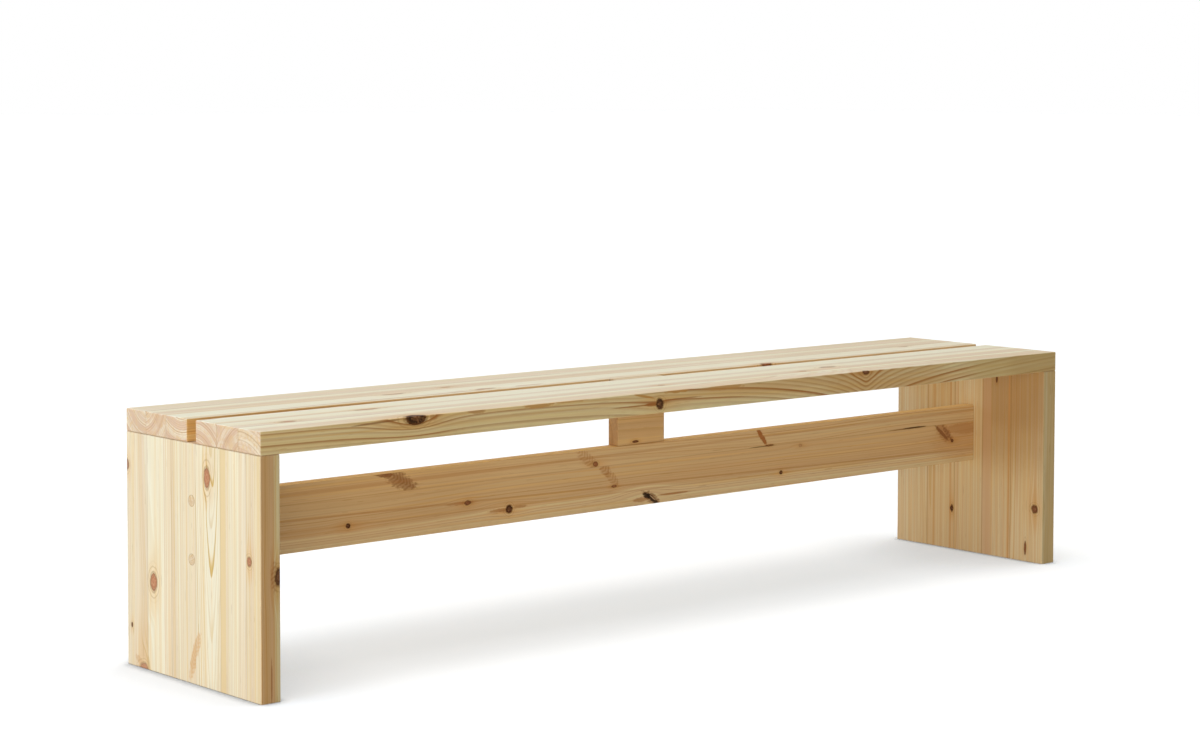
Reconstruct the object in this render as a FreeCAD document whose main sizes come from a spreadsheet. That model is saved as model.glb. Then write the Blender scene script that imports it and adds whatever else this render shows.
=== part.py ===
import FreeCAD, Part
import os
import Sketcher

# Pine bench: two seat planks lie on two end panels, a stretcher on edge joins the panels, and a short post
# stands on the stretcher and fills the gap between the planks at mid length. Every board is glued up from
# staves. Millimetres; x runs along the bench, the front faces -y, z is up, and the origin is on the floor
# under the middle of the seat.

SIZES = {
    # seat
    "bench_length": 2000,
    "bench_height": 450,
    "plank_width": 196,
    "plank_thickness": 40,
    "plank_gap": 28,
    # end panels: the width of the outermost staves, the others share what is left
    "leg_thickness": 38,
    "left_front_stave": 44,
    "right_edge_stave": 90,
    # stretcher and post
    "stretcher_bottom": 202,
    "stretcher_height": 120,
    "stretcher_upper_stave": 35,
    "post_width": 120,
    # rounding of every open edge
    "arris_radius": 2,
    # screws from the end panels into the stretcher, with the wooden plugs that cover their heads
    "screw_inset": 10,
    "screw_diameter": 6,
    "screw_length": 80,
    "screw_point": 8,
    "screw_head_diameter": 12,
    "screw_head_height": 4,
    "screw_passage": 0.3,
    "plug_diameter": 20,
    "plug_length": 10,
    "plug_head_gap": 1,
    "plug_margin": 2,
    # glued dowels
    "dowel_diameter": 10,
    "dowel_in_seat": 25,
    "dowel_in_leg": 35,
    "foot_dowel_depth": 30,
    "cross_dowel_depth": 30,
    "cross_dowel_spacing": 50,
    "dowel_wall": 5,
    "dowel_chamfer": 1,
    # room for glue round a dowel, plug or screw, and at the bottom of a blind bore
    "glue_room": 0.1,
    "bore_spare": 1.5,
    # how far a stave's cutting slab reaches past the board
    "slab_margin": 10,
}

STAVES_IN_PLANK = 3
MIDDLE_STAVES_IN_LEFT_LEG = 4
MIDDLE_STAVES_IN_RIGHT_LEG = 3

# Lengths and heights that follow from the sizes
DEPTH = "(2 * sizes.plank_width + sizes.plank_gap)"
HALF_DEPTH = "(sizes.plank_width + sizes.plank_gap / 2)"
HALF_LENGTH = "(sizes.bench_length / 2)"
HALF_GAP = "(sizes.plank_gap / 2)"
UNDERSIDE = "(sizes.bench_height - sizes.plank_thickness)"
SEAT_MIDDLE = "(sizes.bench_height - sizes.plank_thickness / 2)"
PLANK_CENTRE = "((sizes.plank_width + sizes.plank_gap) / 2)"
PLANK_STAVE = f"(sizes.plank_width / {STAVES_IN_PLANK})"
LEG_CENTRE = "((sizes.bench_length - sizes.leg_thickness) / 2)"
STRETCHER_END = "(sizes.bench_length / 2 - sizes.leg_thickness)"
STRETCHER_TOP = "(sizes.stretcher_bottom + sizes.stretcher_height)"
STRETCHER_JOINT = f"({STRETCHER_TOP} - sizes.stretcher_upper_stave)"
POST_HEIGHT = f"(sizes.bench_height - {STRETCHER_TOP})"
UPPER_SCREW = f"({STRETCHER_TOP} - sizes.screw_inset)"
LOWER_SCREW = "(sizes.stretcher_bottom + sizes.screw_inset)"
HEAD_SEAT = "(sizes.plug_length + sizes.plug_head_gap + sizes.screw_head_height)"
SCREW_IN_STRETCHER = f"(sizes.screw_length - sizes.leg_thickness + {HEAD_SEAT})"
PLUG_BORE = "(sizes.plug_diameter + 2 * sizes.glue_room)"
DOWEL_BORE = "(sizes.dowel_diameter + 2 * sizes.glue_room)"
CROSS_DOWEL_X = "(sizes.cross_dowel_spacing / 2)"
FOOT_DOWEL_X = f"({CROSS_DOWEL_X} + {DOWEL_BORE} + sizes.dowel_wall)"

# Centres of the screws across an end panel, and of the post's dowels in plan and in elevation. The foot
# dowels stand outside the cross dowels, so that the two never meet in a lower post.
SCREWS = [("0", UPPER_SCREW), ("0", LOWER_SCREW)]
FOOT_DOWELS = [(f"(-{FOOT_DOWEL_X})", "0"), (FOOT_DOWEL_X, "0")]
CROSS_DOWELS = [(f"(-{CROSS_DOWEL_X})", SEAT_MIDDLE), (CROSS_DOWEL_X, SEAT_MIDDLE)]

doc = FreeCAD.newDocument("bench")
sheet = doc.addObject("Spreadsheet::Sheet", "sizes")
nodes = []


def fill_sheet():
    """One named row for each driving size."""
    for row, (name, value) in enumerate(SIZES.items(), start=1):
        sheet.set(f"A{row}", name)
        sheet.set(f"B{row}", str(value))
        sheet.setAlias(f"B{row}", name)
    doc.recompute()


def bind(item, formulas):
    for path, formula in formulas.items():
        item.setExpression(path, formula)


def minus(formula):
    return f"(-{formula})"


def new_body(name):
    return doc.addObject("PartDesign::Body", name)


def new_sketch(body, name, plane, offset):
    """Empty sketch on one of the body's own origin planes, shifted by the three formulas of offset."""
    sketch = body.newObject("Sketcher::SketchObject", name)
    support = next(item for item in body.Origin.OriginFeatures if item.Role == plane)
    sketch.AttachmentSupport = [(support, "")]
    sketch.MapMode = "FlatFace"
    bind(sketch, {f"AttachmentOffset.Base.{axis}": formula for axis, formula in zip("xyz", offset)})
    return sketch


def set_size(sketch, constraint, name, formula):
    """Add a dimension to the sketch and tie it to a formula."""
    number = sketch.addConstraint(constraint)
    sketch.renameConstraint(number, name)
    sketch.setExpression(f"Constraints.{name}", formula)


def fix_point(sketch, curve, point, place, name):
    """Hold a point of a curve at the two formulas of place, measured from the sketch's origin."""
    for kind, axis, formula in (("DistanceX", -2, place[0]), ("DistanceY", -1, place[1])):
        if formula == "0":
            sketch.addConstraint(Sketcher.Constraint("PointOnObject", curve, point, axis))
        else:
            set_size(sketch, Sketcher.Constraint(kind, -1, 1, curve, point, 1.0), f"{name}_{kind}", formula)


def add_outline(sketch, places):
    """Closed outline of straight lines through places, each a pair of formulas; drawn loosely, then held."""
    count = len(places)
    for number in range(count):
        start = FreeCAD.Vector(number, number * number, 0)
        sketch.addGeometry(Part.LineSegment(start, start + FreeCAD.Vector(1, 1, 0)))
    for number, place in enumerate(places):
        before = (number - 1) % count
        sketch.addConstraint(Sketcher.Constraint("Coincident", before, 2, number, 1))
        fix_point(sketch, number, 1, place, f"corner{number}")


def add_rectangle(sketch, width, height):
    """Rectangle centred on the sketch's origin."""
    right, top = f"({width} / 2)", f"({height} / 2)"
    left, bottom = minus(right), minus(top)
    add_outline(sketch, [(left, bottom), (right, bottom), (right, top), (left, top)])


def add_circles(sketch, centres, diameter):
    for number, centre in enumerate(centres):
        circle = sketch.addGeometry(Part.Circle(FreeCAD.Vector(number, 0, 0), FreeCAD.Vector(0, 0, 1), 1))
        fix_point(sketch, circle, 3, centre, f"centre{number}")
        set_size(sketch, Sketcher.Constraint("Diameter", circle, 1), f"diameter{number}", diameter)


def add_pad(body, sketch, length, side="One side", reverse=False):
    pad = body.newObject("PartDesign::Pad", f"{sketch.Name}_pad")
    pad.Profile = sketch
    pad.SideType = side
    pad.Reversed = reverse
    pad.setExpression("Length", length)
    doc.recompute()
    return pad


def add_bores(body, name, plane, offset, centres, diameter, depth, reverse):
    """Flat-bottomed round bores of one depth, cut from a shifted plane; each has to take wood away."""
    before = body.Shape.Volume
    sketch = new_sketch(body, name, plane, offset)
    add_circles(sketch, centres, diameter)
    pocket = body.newObject("PartDesign::Pocket", f"{name}_pocket")
    pocket.Profile = sketch
    pocket.Reversed = reverse
    pocket.setExpression("Length", depth)
    doc.recompute()
    if body.Shape.Volume >= before:
        raise RuntimeError(f"{name} takes no wood away")


def edge_names(shape, is_wanted):
    return [f"Edge{number}" for number, edge in enumerate(shape.Edges, start=1) if is_wanted(edge)]


def ease(body, is_open):
    """Round the edges for which is_open is true."""
    base = body.Tip
    fillet = body.newObject("PartDesign::Fillet", f"{body.Name}_arris")
    fillet.Base = (base, edge_names(base.Shape, is_open))
    fillet.setExpression("Radius", "sizes.arris_radius")
    doc.recompute()


def chamfer_rims(body, pad, is_wanted):
    """Chamfer the round rims of a padded peg for which is_wanted is true."""
    chamfer = body.newObject("PartDesign::Chamfer", f"{body.Name}_ends")
    chamfer.Base = (pad, edge_names(pad.Shape, lambda edge: edge.isClosed() and is_wanted(edge)))
    chamfer.setExpression("Size", "sizes.dowel_chamfer")
    doc.recompute()


def runs_along_x(edge):
    return edge.BoundBox.XLength > max(edge.BoundBox.YLength, edge.BoundBox.ZLength)


def every_edge(edge):
    return True


def keep_node(item, label):
    item.Label = label
    nodes.append(item)


def cut_staves(board, names, axis, joints):
    """Part a finished board into staves along its glue lines, given as formulas along y or z."""
    sides = {"x": "Length", "y": "Width", "z": "Height"}
    reach = "(sizes.bench_length + 2 * sizes.slab_margin)"
    for name, low, high in zip(names, joints, joints[1:]):
        slab = doc.addObject("Part::Box", f"{name}_slab")
        for direction, side in sides.items():
            across = direction == axis
            bind(slab, {side: f"{high} - {low}" if across else reach})
            bind(slab, {f"Placement.Base.{direction}": low if across else f"-{reach} / 2"})
        stave = doc.addObject("Part::Common", name)
        stave.Base = board
        stave.Tool = slab
        keep_node(stave, name)


def numbered(name, count):
    return [f"{name}_{number}" for number in range(1, count + 1)]


def seat_dowel_rows():
    """Distances from the middle line of the dowels at each end: one in each stave of each plank."""
    first = f"({HALF_GAP} + {PLANK_STAVE} / 2)"
    rear = [f"({first} + {number} * {PLANK_STAVE})" for number in range(STAVES_IN_PLANK)]
    front = [minus(row) for row in rear]
    return front, rear


def seat_plank(name, centre, rows, inner_face, bore_forward):
    """Plank with eased edges, dowel bores under both ends and two cross bores in its inner edge."""
    body = new_body(name)
    section = new_sketch(body, f"{name}_section", "YZ_Plane", (centre, SEAT_MIDDLE, "0"))
    add_rectangle(section, "sizes.plank_width", "sizes.plank_thickness")
    add_pad(body, section, "sizes.bench_length", side="Symmetric")
    ease(body, every_edge)
    ends = [(x, row) for x in (minus(LEG_CENTRE), LEG_CENTRE) for row in rows]
    depth = "sizes.dowel_in_seat + sizes.bore_spare"
    add_bores(body, f"{name}_dowel_bores", "XY_Plane", ("0", "0", UNDERSIDE), ends, DOWEL_BORE, depth, True)
    depth = "sizes.cross_dowel_depth + sizes.bore_spare"
    offset = ("0", "0", inner_face)
    bores = f"{name}_cross_bores"
    add_bores(body, bores, "XZ_Plane", offset, CROSS_DOWELS, DOWEL_BORE, depth, bore_forward)
    return body


def leg_panel(name, side, rows):
    """End panel with dowel bores in its top and stepped bores for screws and plugs; side is -1 or 1."""
    body = new_body(name)
    centre = f"({side} * {LEG_CENTRE})"
    outer = f"({side} * {HALF_LENGTH})"
    section = new_sketch(body, f"{name}_section", "YZ_Plane", ("0", f"{UNDERSIDE} / 2", centre))
    add_rectangle(section, DEPTH, UNDERSIDE)
    add_pad(body, section, "sizes.leg_thickness", side="Symmetric")
    ease(body, every_edge)
    top = [(centre, row) for row in rows]
    depth = "sizes.dowel_in_leg + sizes.bore_spare"
    add_bores(body, f"{name}_dowel_bores", "XY_Plane", ("0", "0", UNDERSIDE), top, DOWEL_BORE, depth, False)
    passage = "(sizes.screw_diameter + 2 * sizes.screw_passage)"
    inwards = side < 0
    steps = (("plug", PLUG_BORE, HEAD_SEAT), ("screw", passage, "sizes.leg_thickness"))
    for step, diameter, depth in steps:
        bores = f"{name}_{step}_bores"
        add_bores(body, bores, "YZ_Plane", ("0", "0", outer), SCREWS, diameter, depth, inwards)
    return body


def stretcher_board():
    """Board on edge between the end panels, bored for the screws at its ends and for the post's dowels."""
    body = new_body("stretcher")
    middle = "(sizes.stretcher_bottom + sizes.stretcher_height / 2)"
    section = new_sketch(body, "stretcher_section", "YZ_Plane", ("0", middle, "0"))
    add_rectangle(section, "sizes.plank_gap", "sizes.stretcher_height")
    add_pad(body, section, f"2 * {STRETCHER_END}", side="Symmetric")
    ease(body, runs_along_x)
    diameter = "(sizes.screw_diameter + 2 * sizes.glue_room)"
    depth = f"{SCREW_IN_STRETCHER} + sizes.bore_spare"
    for name, end, inwards in (("left", minus(STRETCHER_END), True), ("right", STRETCHER_END, False)):
        bores = f"stretcher_{name}_screw_bores"
        add_bores(body, bores, "YZ_Plane", ("0", "0", end), SCREWS, diameter, depth, inwards)
    depth = "sizes.foot_dowel_depth + sizes.bore_spare"
    offset = ("0", "0", STRETCHER_TOP)
    add_bores(body, "stretcher_post_bores", "XY_Plane", offset, FOOT_DOWELS, DOWEL_BORE, depth, False)
    return body


def build_post():
    """Upright block from the stretcher to the seat's top face, as thick as the gap; its foot stays sharp."""
    body = new_body("centre_post")
    foot = new_sketch(body, "post_foot", "XY_Plane", ("0", "0", STRETCHER_TOP))
    add_rectangle(foot, "sizes.post_width", "sizes.plank_gap")
    add_pad(body, foot, POST_HEIGHT)
    middle = body.Shape.BoundBox.Center.z
    ease(body, lambda edge: edge.BoundBox.ZMax > middle)
    depth = "sizes.foot_dowel_depth + sizes.bore_spare"
    offset = ("0", "0", STRETCHER_TOP)
    add_bores(body, "post_foot_bores", "XY_Plane", offset, FOOT_DOWELS, DOWEL_BORE, depth, True)
    offset = ("0", "0", HALF_GAP)
    depth = "sizes.plank_gap"
    add_bores(body, "post_cross_bores", "XZ_Plane", offset, CROSS_DOWELS, DOWEL_BORE, depth, False)
    keep_node(body, "centre_post")


def make_dowels(name, plane, offset, centres, length):
    """Glued dowels of one length, standing on a shifted plane, with chamfered ends."""
    body = new_body(name)
    body.AllowCompound = True
    sketch = new_sketch(body, f"{name}_section", plane, offset)
    add_circles(sketch, centres, "sizes.dowel_diameter")
    pad = add_pad(body, sketch, length)
    chamfer_rims(body, pad, every_edge)
    keep_node(body, name)


def make_plugs(name, side):
    """Two plugs flush with the outer face of an end panel, chamfered at their hidden ends."""
    body = new_body(name)
    body.AllowCompound = True
    outer = f"({side} * {HALF_LENGTH})"
    sketch = new_sketch(body, f"{name}_section", "YZ_Plane", ("0", "0", outer))
    add_circles(sketch, SCREWS, "sizes.plug_diameter")
    pad = add_pad(body, sketch, "sizes.plug_length", reverse=side > 0)
    middle = abs(pad.Shape.BoundBox.Center.x)
    chamfer_rims(body, pad, lambda edge: abs(edge.BoundBox.Center.x) < middle)
    keep_node(body, name)


def screw(name, side, height):
    """Wood screw along x: flat-bottomed head on its seat in the end panel, plain shank and a point."""
    body = new_body(name)
    seat = f"({HALF_LENGTH} - {HEAD_SEAT})"
    head = f"({seat} + sizes.screw_head_height)"
    tip = f"({seat} - sizes.screw_length)"
    shoulder = f"({tip} + sizes.screw_point)"
    shank = "(sizes.screw_diameter / 2)"
    rim = "(sizes.screw_head_diameter / 2)"
    profile = [(tip, "0"), (shoulder, shank), (seat, shank), (seat, rim), (head, rim), (head, "0")]
    sketch = new_sketch(body, f"{name}_profile", "XZ_Plane", ("0", height, "0"))
    add_outline(sketch, [(f"({side} * {along})", out) for along, out in profile])
    turn = body.newObject("PartDesign::Revolution", f"{name}_turn")
    turn.Profile = sketch
    turn.ReferenceAxis = (sketch, ["H_Axis"])
    doc.recompute()
    return body


def make_screws(name, side):
    """The two stretcher screws of one end."""
    pair = doc.addObject("Part::Compound", name)
    pair.Links = [screw(f"{name}_upper", side, UPPER_SCREW), screw(f"{name}_lower", side, LOWER_SCREW)]
    keep_node(pair, name)


def build_seat():
    front_rows, rear_rows = seat_dowel_rows()
    front = seat_plank("front_plank", minus(PLANK_CENTRE), front_rows, HALF_GAP, True)
    rear = seat_plank("rear_plank", PLANK_CENTRE, rear_rows, minus(HALF_GAP), False)
    front_joints = [f"(-{HALF_DEPTH} + {number} * {PLANK_STAVE})" for number in range(STAVES_IN_PLANK + 1)]
    rear_joints = [f"({HALF_GAP} + {number} * {PLANK_STAVE})" for number in range(STAVES_IN_PLANK + 1)]
    cut_staves(front, numbered("seat_front_stave", STAVES_IN_PLANK), "y", front_joints)
    cut_staves(rear, numbered("seat_rear_stave", STAVES_IN_PLANK), "y", rear_joints)


def leg_joints(front, rear, middle_count):
    """Glue lines of an end panel, from its front edge to its rear edge."""
    share = f"(({DEPTH} - {front} - {rear}) / {middle_count})"
    inner = [f"(-{HALF_DEPTH} + {front} + {number} * {share})" for number in range(middle_count + 1)]
    return [minus(HALF_DEPTH), *inner, HALF_DEPTH]


def build_legs():
    front_rows, rear_rows = seat_dowel_rows()
    rows = front_rows + rear_rows
    # The left panel's rear stave is wider than its front stave, so that a glue line just clears the plugs.
    left_front = "sizes.left_front_stave"
    left_rear = f"({left_front} + {PLUG_BORE} + 2 * sizes.plug_margin)"
    left_joints = leg_joints(left_front, left_rear, MIDDLE_STAVES_IN_LEFT_LEG)
    right_edge = "sizes.right_edge_stave"
    right_joints = leg_joints(right_edge, right_edge, MIDDLE_STAVES_IN_RIGHT_LEG)
    left = leg_panel("left_panel", -1, rows)
    right = leg_panel("right_panel", 1, rows)
    cut_staves(left, numbered("left_leg_stave", len(left_joints) - 1), "y", left_joints)
    cut_staves(right, numbered("right_leg_stave", len(right_joints) - 1), "y", right_joints)


def build_stretcher():
    board = stretcher_board()
    joints = ["sizes.stretcher_bottom", STRETCHER_JOINT, STRETCHER_TOP]
    cut_staves(board, ["stretcher_lower_stave", "stretcher_upper_stave"], "z", joints)


def build_fastenings():
    rows = dict(zip(("front", "rear"), seat_dowel_rows()))
    low = f"({UNDERSIDE} - sizes.dowel_in_leg)"
    length = "sizes.dowel_in_seat + sizes.dowel_in_leg"
    for end, side in (("left", -1), ("right", 1)):
        for row_name, row in rows.items():
            centres = [(f"({side} * {LEG_CENTRE})", y) for y in row]
            make_dowels(f"{end}_{row_name}_seat_dowels", "XY_Plane", ("0", "0", low), centres, length)
        make_screws(f"{end}_stretcher_screws", side)
        make_plugs(f"{end}_screw_plugs", side)
    low = f"({STRETCHER_TOP} - sizes.foot_dowel_depth)"
    make_dowels("post_foot_dowels", "XY_Plane", ("0", "0", low), FOOT_DOWELS, "2 * sizes.foot_dowel_depth")
    start = f"(-{HALF_GAP} - sizes.cross_dowel_depth)"
    length = "sizes.plank_gap + 2 * sizes.cross_dowel_depth"
    make_dowels("post_cross_dowels", "XZ_Plane", ("0", "0", start), CROSS_DOWELS, length)


def check_document():
    doc.recompute()
    for item in doc.Objects:
        if "Invalid" in item.State or "Error" in item.State:
            raise RuntimeError(f"{item.Label} failed: {item.State}")
    for item in nodes:
        if item.Shape.isNull() or not item.Shape.isValid() or not item.Shape.Solids:
            raise RuntimeError(f"{item.Label} is not a sound solid")


def write_nodes():
    os.makedirs("parts", exist_ok=True)
    for item in nodes:
        item.Shape.exportStep(os.path.join("parts", f"{item.Label}.step"))
        print(item.Label, len(item.Shape.Solids), "solids", round(item.Shape.Volume), "mm3")


fill_sheet()
build_seat()
build_legs()
build_stretcher()
build_post()
build_fastenings()
check_document()
write_nodes()
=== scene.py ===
"""Looks of the pine bench: wood for every packed board, a plain studio and the photograph's camera."""
from math import cos, pi, radians, sin

import bpy
from mathutils import Matrix, Vector


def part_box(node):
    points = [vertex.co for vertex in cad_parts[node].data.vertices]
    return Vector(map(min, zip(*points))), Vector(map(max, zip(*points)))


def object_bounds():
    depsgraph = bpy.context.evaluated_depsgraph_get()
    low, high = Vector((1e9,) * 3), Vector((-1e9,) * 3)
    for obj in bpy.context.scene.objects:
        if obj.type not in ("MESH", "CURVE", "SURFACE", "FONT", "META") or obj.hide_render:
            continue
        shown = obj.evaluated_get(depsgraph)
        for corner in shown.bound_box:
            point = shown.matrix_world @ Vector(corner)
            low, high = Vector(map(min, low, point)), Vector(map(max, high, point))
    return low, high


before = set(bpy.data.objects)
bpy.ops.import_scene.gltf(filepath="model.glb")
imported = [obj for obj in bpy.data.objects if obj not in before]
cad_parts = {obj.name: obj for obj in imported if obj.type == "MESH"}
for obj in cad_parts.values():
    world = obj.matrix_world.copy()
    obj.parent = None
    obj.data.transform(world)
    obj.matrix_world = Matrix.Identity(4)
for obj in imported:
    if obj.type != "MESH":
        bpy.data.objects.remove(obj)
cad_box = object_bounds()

# The bench's own box, from which every place below is measured
LOW, HIGH = (Vector(corner) for corner in cad_box)
LEG_INNER_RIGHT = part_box("right_leg_stave_1")[0].x
RAIL_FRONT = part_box("stretcher_lower_stave")[0].y
GAP_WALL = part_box("seat_rear_stave_1")[0].y
RAIL_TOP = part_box("stretcher_upper_stave")[1].z
SEAT_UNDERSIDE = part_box("seat_front_stave_1")[0].z
JOINT_WIDTH = 0.0013
GLUE_WIDTH = 0.0009

# The photograph's camera, in metres from the middle of the bench's foot
PHOTO_WIDTH = 1200
PHOTO_HEIGHT = 750
OPTICAL_CENTRE_X = 662.0
OPTICAL_CENTRE_Y = 225.0
FOCAL_PIXELS = 2692.3
CAMERA_PLACE = Vector((-3.421, -3.889, 1.026))
CAMERA_TURN = radians(-41.868)
CAMERA_DIP = radians(3.111)
CAMERA_ROLL = radians(-0.193)
SENSOR_WIDTH = 36.0

# Which row axes are a board's fibre direction, width and thickness
SEAT_AXES = (0, 1, 2)
LEG_AXES = (2, 1, 0)
RAIL_AXES = (0, 2, 1)

# Tones of the wood and the steel, as linear colours, among them painted shade and painted light
EARLYWOOD = (0.87, 0.77, 0.55)
CREAM = (0.89, 0.82, 0.60)
GOLD = (0.78, 0.58, 0.30)
BLUSH = (0.76, 0.55, 0.37)
HEARTWOOD = (0.68, 0.47, 0.26)
ORANGE = (0.70, 0.42, 0.19)
LATEWOOD = (0.40, 0.215, 0.07)
GOLDEN_LATEWOOD = (0.66, 0.43, 0.14)
PINK_LATEWOOD = (0.58, 0.34, 0.19)
RED_LATEWOOD = (0.50, 0.245, 0.10)
EDGE_LATEWOOD = (0.45, 0.21, 0.09)
END_TINT = (0.92, 0.85, 0.82)
POST_END_TINT = (0.81, 0.73, 0.68)
PLAIN_EDGE_TINT = (0.88, 0.91, 0.81)
BROWN_EDGE_TINT = (0.69, 0.58, 0.475)
SAP_EDGE_TINT = (0.76, 0.82, 0.81)
# Partly a darker olive tone, partly painted shade where less light reaches the bench's right end
OLIVE_EDGE_AND_SHADE = (0.695, 0.69, 0.61)
# Painted warm bounce light on the walls of the gap between the planks
GAP_EDGE_PAINTED_BOUNCE = (0.98, 0.80, 0.50)
# Painted warm bounce light on the stretcher's top and bottom faces
RAIL_EDGE_PAINTED_BOUNCE = (1.10, 1.00, 0.68)
LIVE_KNOT = (0.47, 0.18, 0.085)
PALE_KNOT = (0.62, 0.33, 0.17)
DEAD_KNOT = (0.025, 0.014, 0.009)
KNOT_RIM = (0.16, 0.065, 0.025)
KNOT_HALO = (0.94, 0.76, 0.55)
SPIKE = (0.29, 0.135, 0.06)
RED_SPIKE = (0.42, 0.17, 0.06)
FLAME = (0.60, 0.32, 0.12)
SHADED_WOOD = (0.48, 0.29, 0.13)
OLIVE_WOOD = (0.80, 0.70, 0.40)
# Painted light for the wall of the gap between the planks
GAP_PAINTED_LIGHT = (1.0, 0.93, 0.78)
JOINT_SHADE = (0.30, 0.15, 0.06)
GLUE_LINE = (0.42, 0.24, 0.11)
PLUG_TINT = (0.88, 0.80, 0.72)
BEECH = (0.66, 0.44, 0.27)
BEECH_DARK = (0.55, 0.34, 0.19)
BEECH_FLECK = (0.34, 0.18, 0.09)
ZINC = (0.60, 0.61, 0.62)
ZINC_DULL = (0.48, 0.49, 0.50)
WHITE = (1.0, 1.0, 1.0)

# How fine the patterns are: clouds in a metre along the fibres, the width and the thickness
KNOT_TEAR = (60.0, 110.0, 110.0)
KNOT_MOTTLE = (240.0, 320.0, 320.0)
KNOT_FUZZ = (70.0, 800.0, 800.0)
PATCH_TEAR = (120.0, 260.0, 260.0)
WANDER = (1.1, 5.0, 5.0)
SHIMMER = (4.0, 130.0, 130.0)
BLOTCH = (1.6, 14.0, 14.0)
STREAK = (1.8, 150.0, 150.0)
FIBRE = (10.0, 520.0, 520.0)
DASH = (24.0, 420.0, 420.0)
WIDE_STRIPE = (0.7, 42.0, 42.0)
FINE_STRIPE = (0.8, 170.0, 170.0)
SAP_WAVE = (7.0, 20.0, 20.0)
BEECH_CLOUD = (160.0, 160.0, 160.0)
BEECH_RAY = (420.0, 900.0, 900.0)
TURNING_MARKS = (1400.0, 90.0, 90.0)
ZINC_CLOUD = (120.0, 120.0, 120.0)
NOISE_MIDDLE = 0.5
NOISE_CENTRE = (NOISE_MIDDLE, NOISE_MIDDLE, NOISE_MIDDLE)

# Knots: how slim the fibres' way round one is, and how far they part and that reaches, in its radii
LOOP_SLIMNESS = 0.3
HALO_REACH = 1.9
FIBRE_PUSH = 0.75
PLAIN_SWELL = 0.5
PLAIN_SPREAD = 1.9

# Knots: thickness left at a branch's tip, fray of the outline, and rings in it and in the wood round it
KNOT_TIP = 0.03
KNOT_FRAY = 0.4
BRANCH_RINGS = 14.0
BRANCH_WOBBLE = 6.0
SWIRL_RINGS = 11.0
SWIRL_WOBBLE = 2.0

# Patches: waves of the chevrons in a metre, and how deep in the wood a patch of the face ends, in metres
CHEVRON_ALONG = 800.0
CHEVRON_ASIDE = 600.0
CHEVRON_TEAR = 3.0
PATCH_DEEP = 0.022
PATCH_SHALLOW = 0.010

# Half the width of a shade and half the length of a stripe, in metres: more than a board has
SHADE_WIDTH = 0.5
WHOLE_BOARD = 10.0

# Year rings: how far they wander and shimmer, how their widths vary, and a year's latewood
WANDER_REACH = 0.018
SHIMMER_REACH = 0.0008
YEAR_DRIFT = 2.2
YEAR_DRIFT_RATE = 0.21
LATE_START = 0.56
EDGE_LATE_START = 0.30
LATE_FULL = 0.88
LATE_FALL = 0.95
WEAK_YEAR = 0.30

# How soft the edge of the heartwood is, in metres
HEART_BLUR = 0.0015

# Groups of years with their own tone: groups in a year, and the noise at which the tone sets in
GOLD_RATE = 0.55
BLUSH_RATE = 0.24
BAND_START = 0.46
BAND_FULL = 0.55

# How much each fine pattern lightens and darkens the wood
FIBRE_SHARE = 0.16
STREAK_SHARE = 0.14
BLOTCH_SHARE = 0.12
DASH_SHARE = 0.3

# Each board has its own seed, which moves its patterns
FIRST_SEED = 1.0
SEED_STEP = 1.37
PLUG_SEED = 3.0
SEED_MOVE = (3.1, 1.7, 2.3)
GOLD_SEED = 5.0
BLUSH_SEED = 9.0

# How far a face is turned where it starts to count as an end or an edge, and where it is one
TURN_START = 0.6
TURN_FULL = 0.9

# Dark lines where boards meet, partly dark joints and partly painted shade in the groove, and how near
# boards are that touch, in metres
JOINT_STRENGTH = 0.35
POST_JOINT = 1.6
JOINT_FADE = 0.002
TOUCH = 0.001

# Surfaces: gloss, roughness, and depth of the relief in metres
BUMP_STRENGTH = 0.35
GLOSS = 0.04
PINE_RELIEF = 0.0003
BEECH_RELIEF = 0.0002
ZINC_RELIEF = 0.0001
PINE_ROUGHNESS = 0.58


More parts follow.
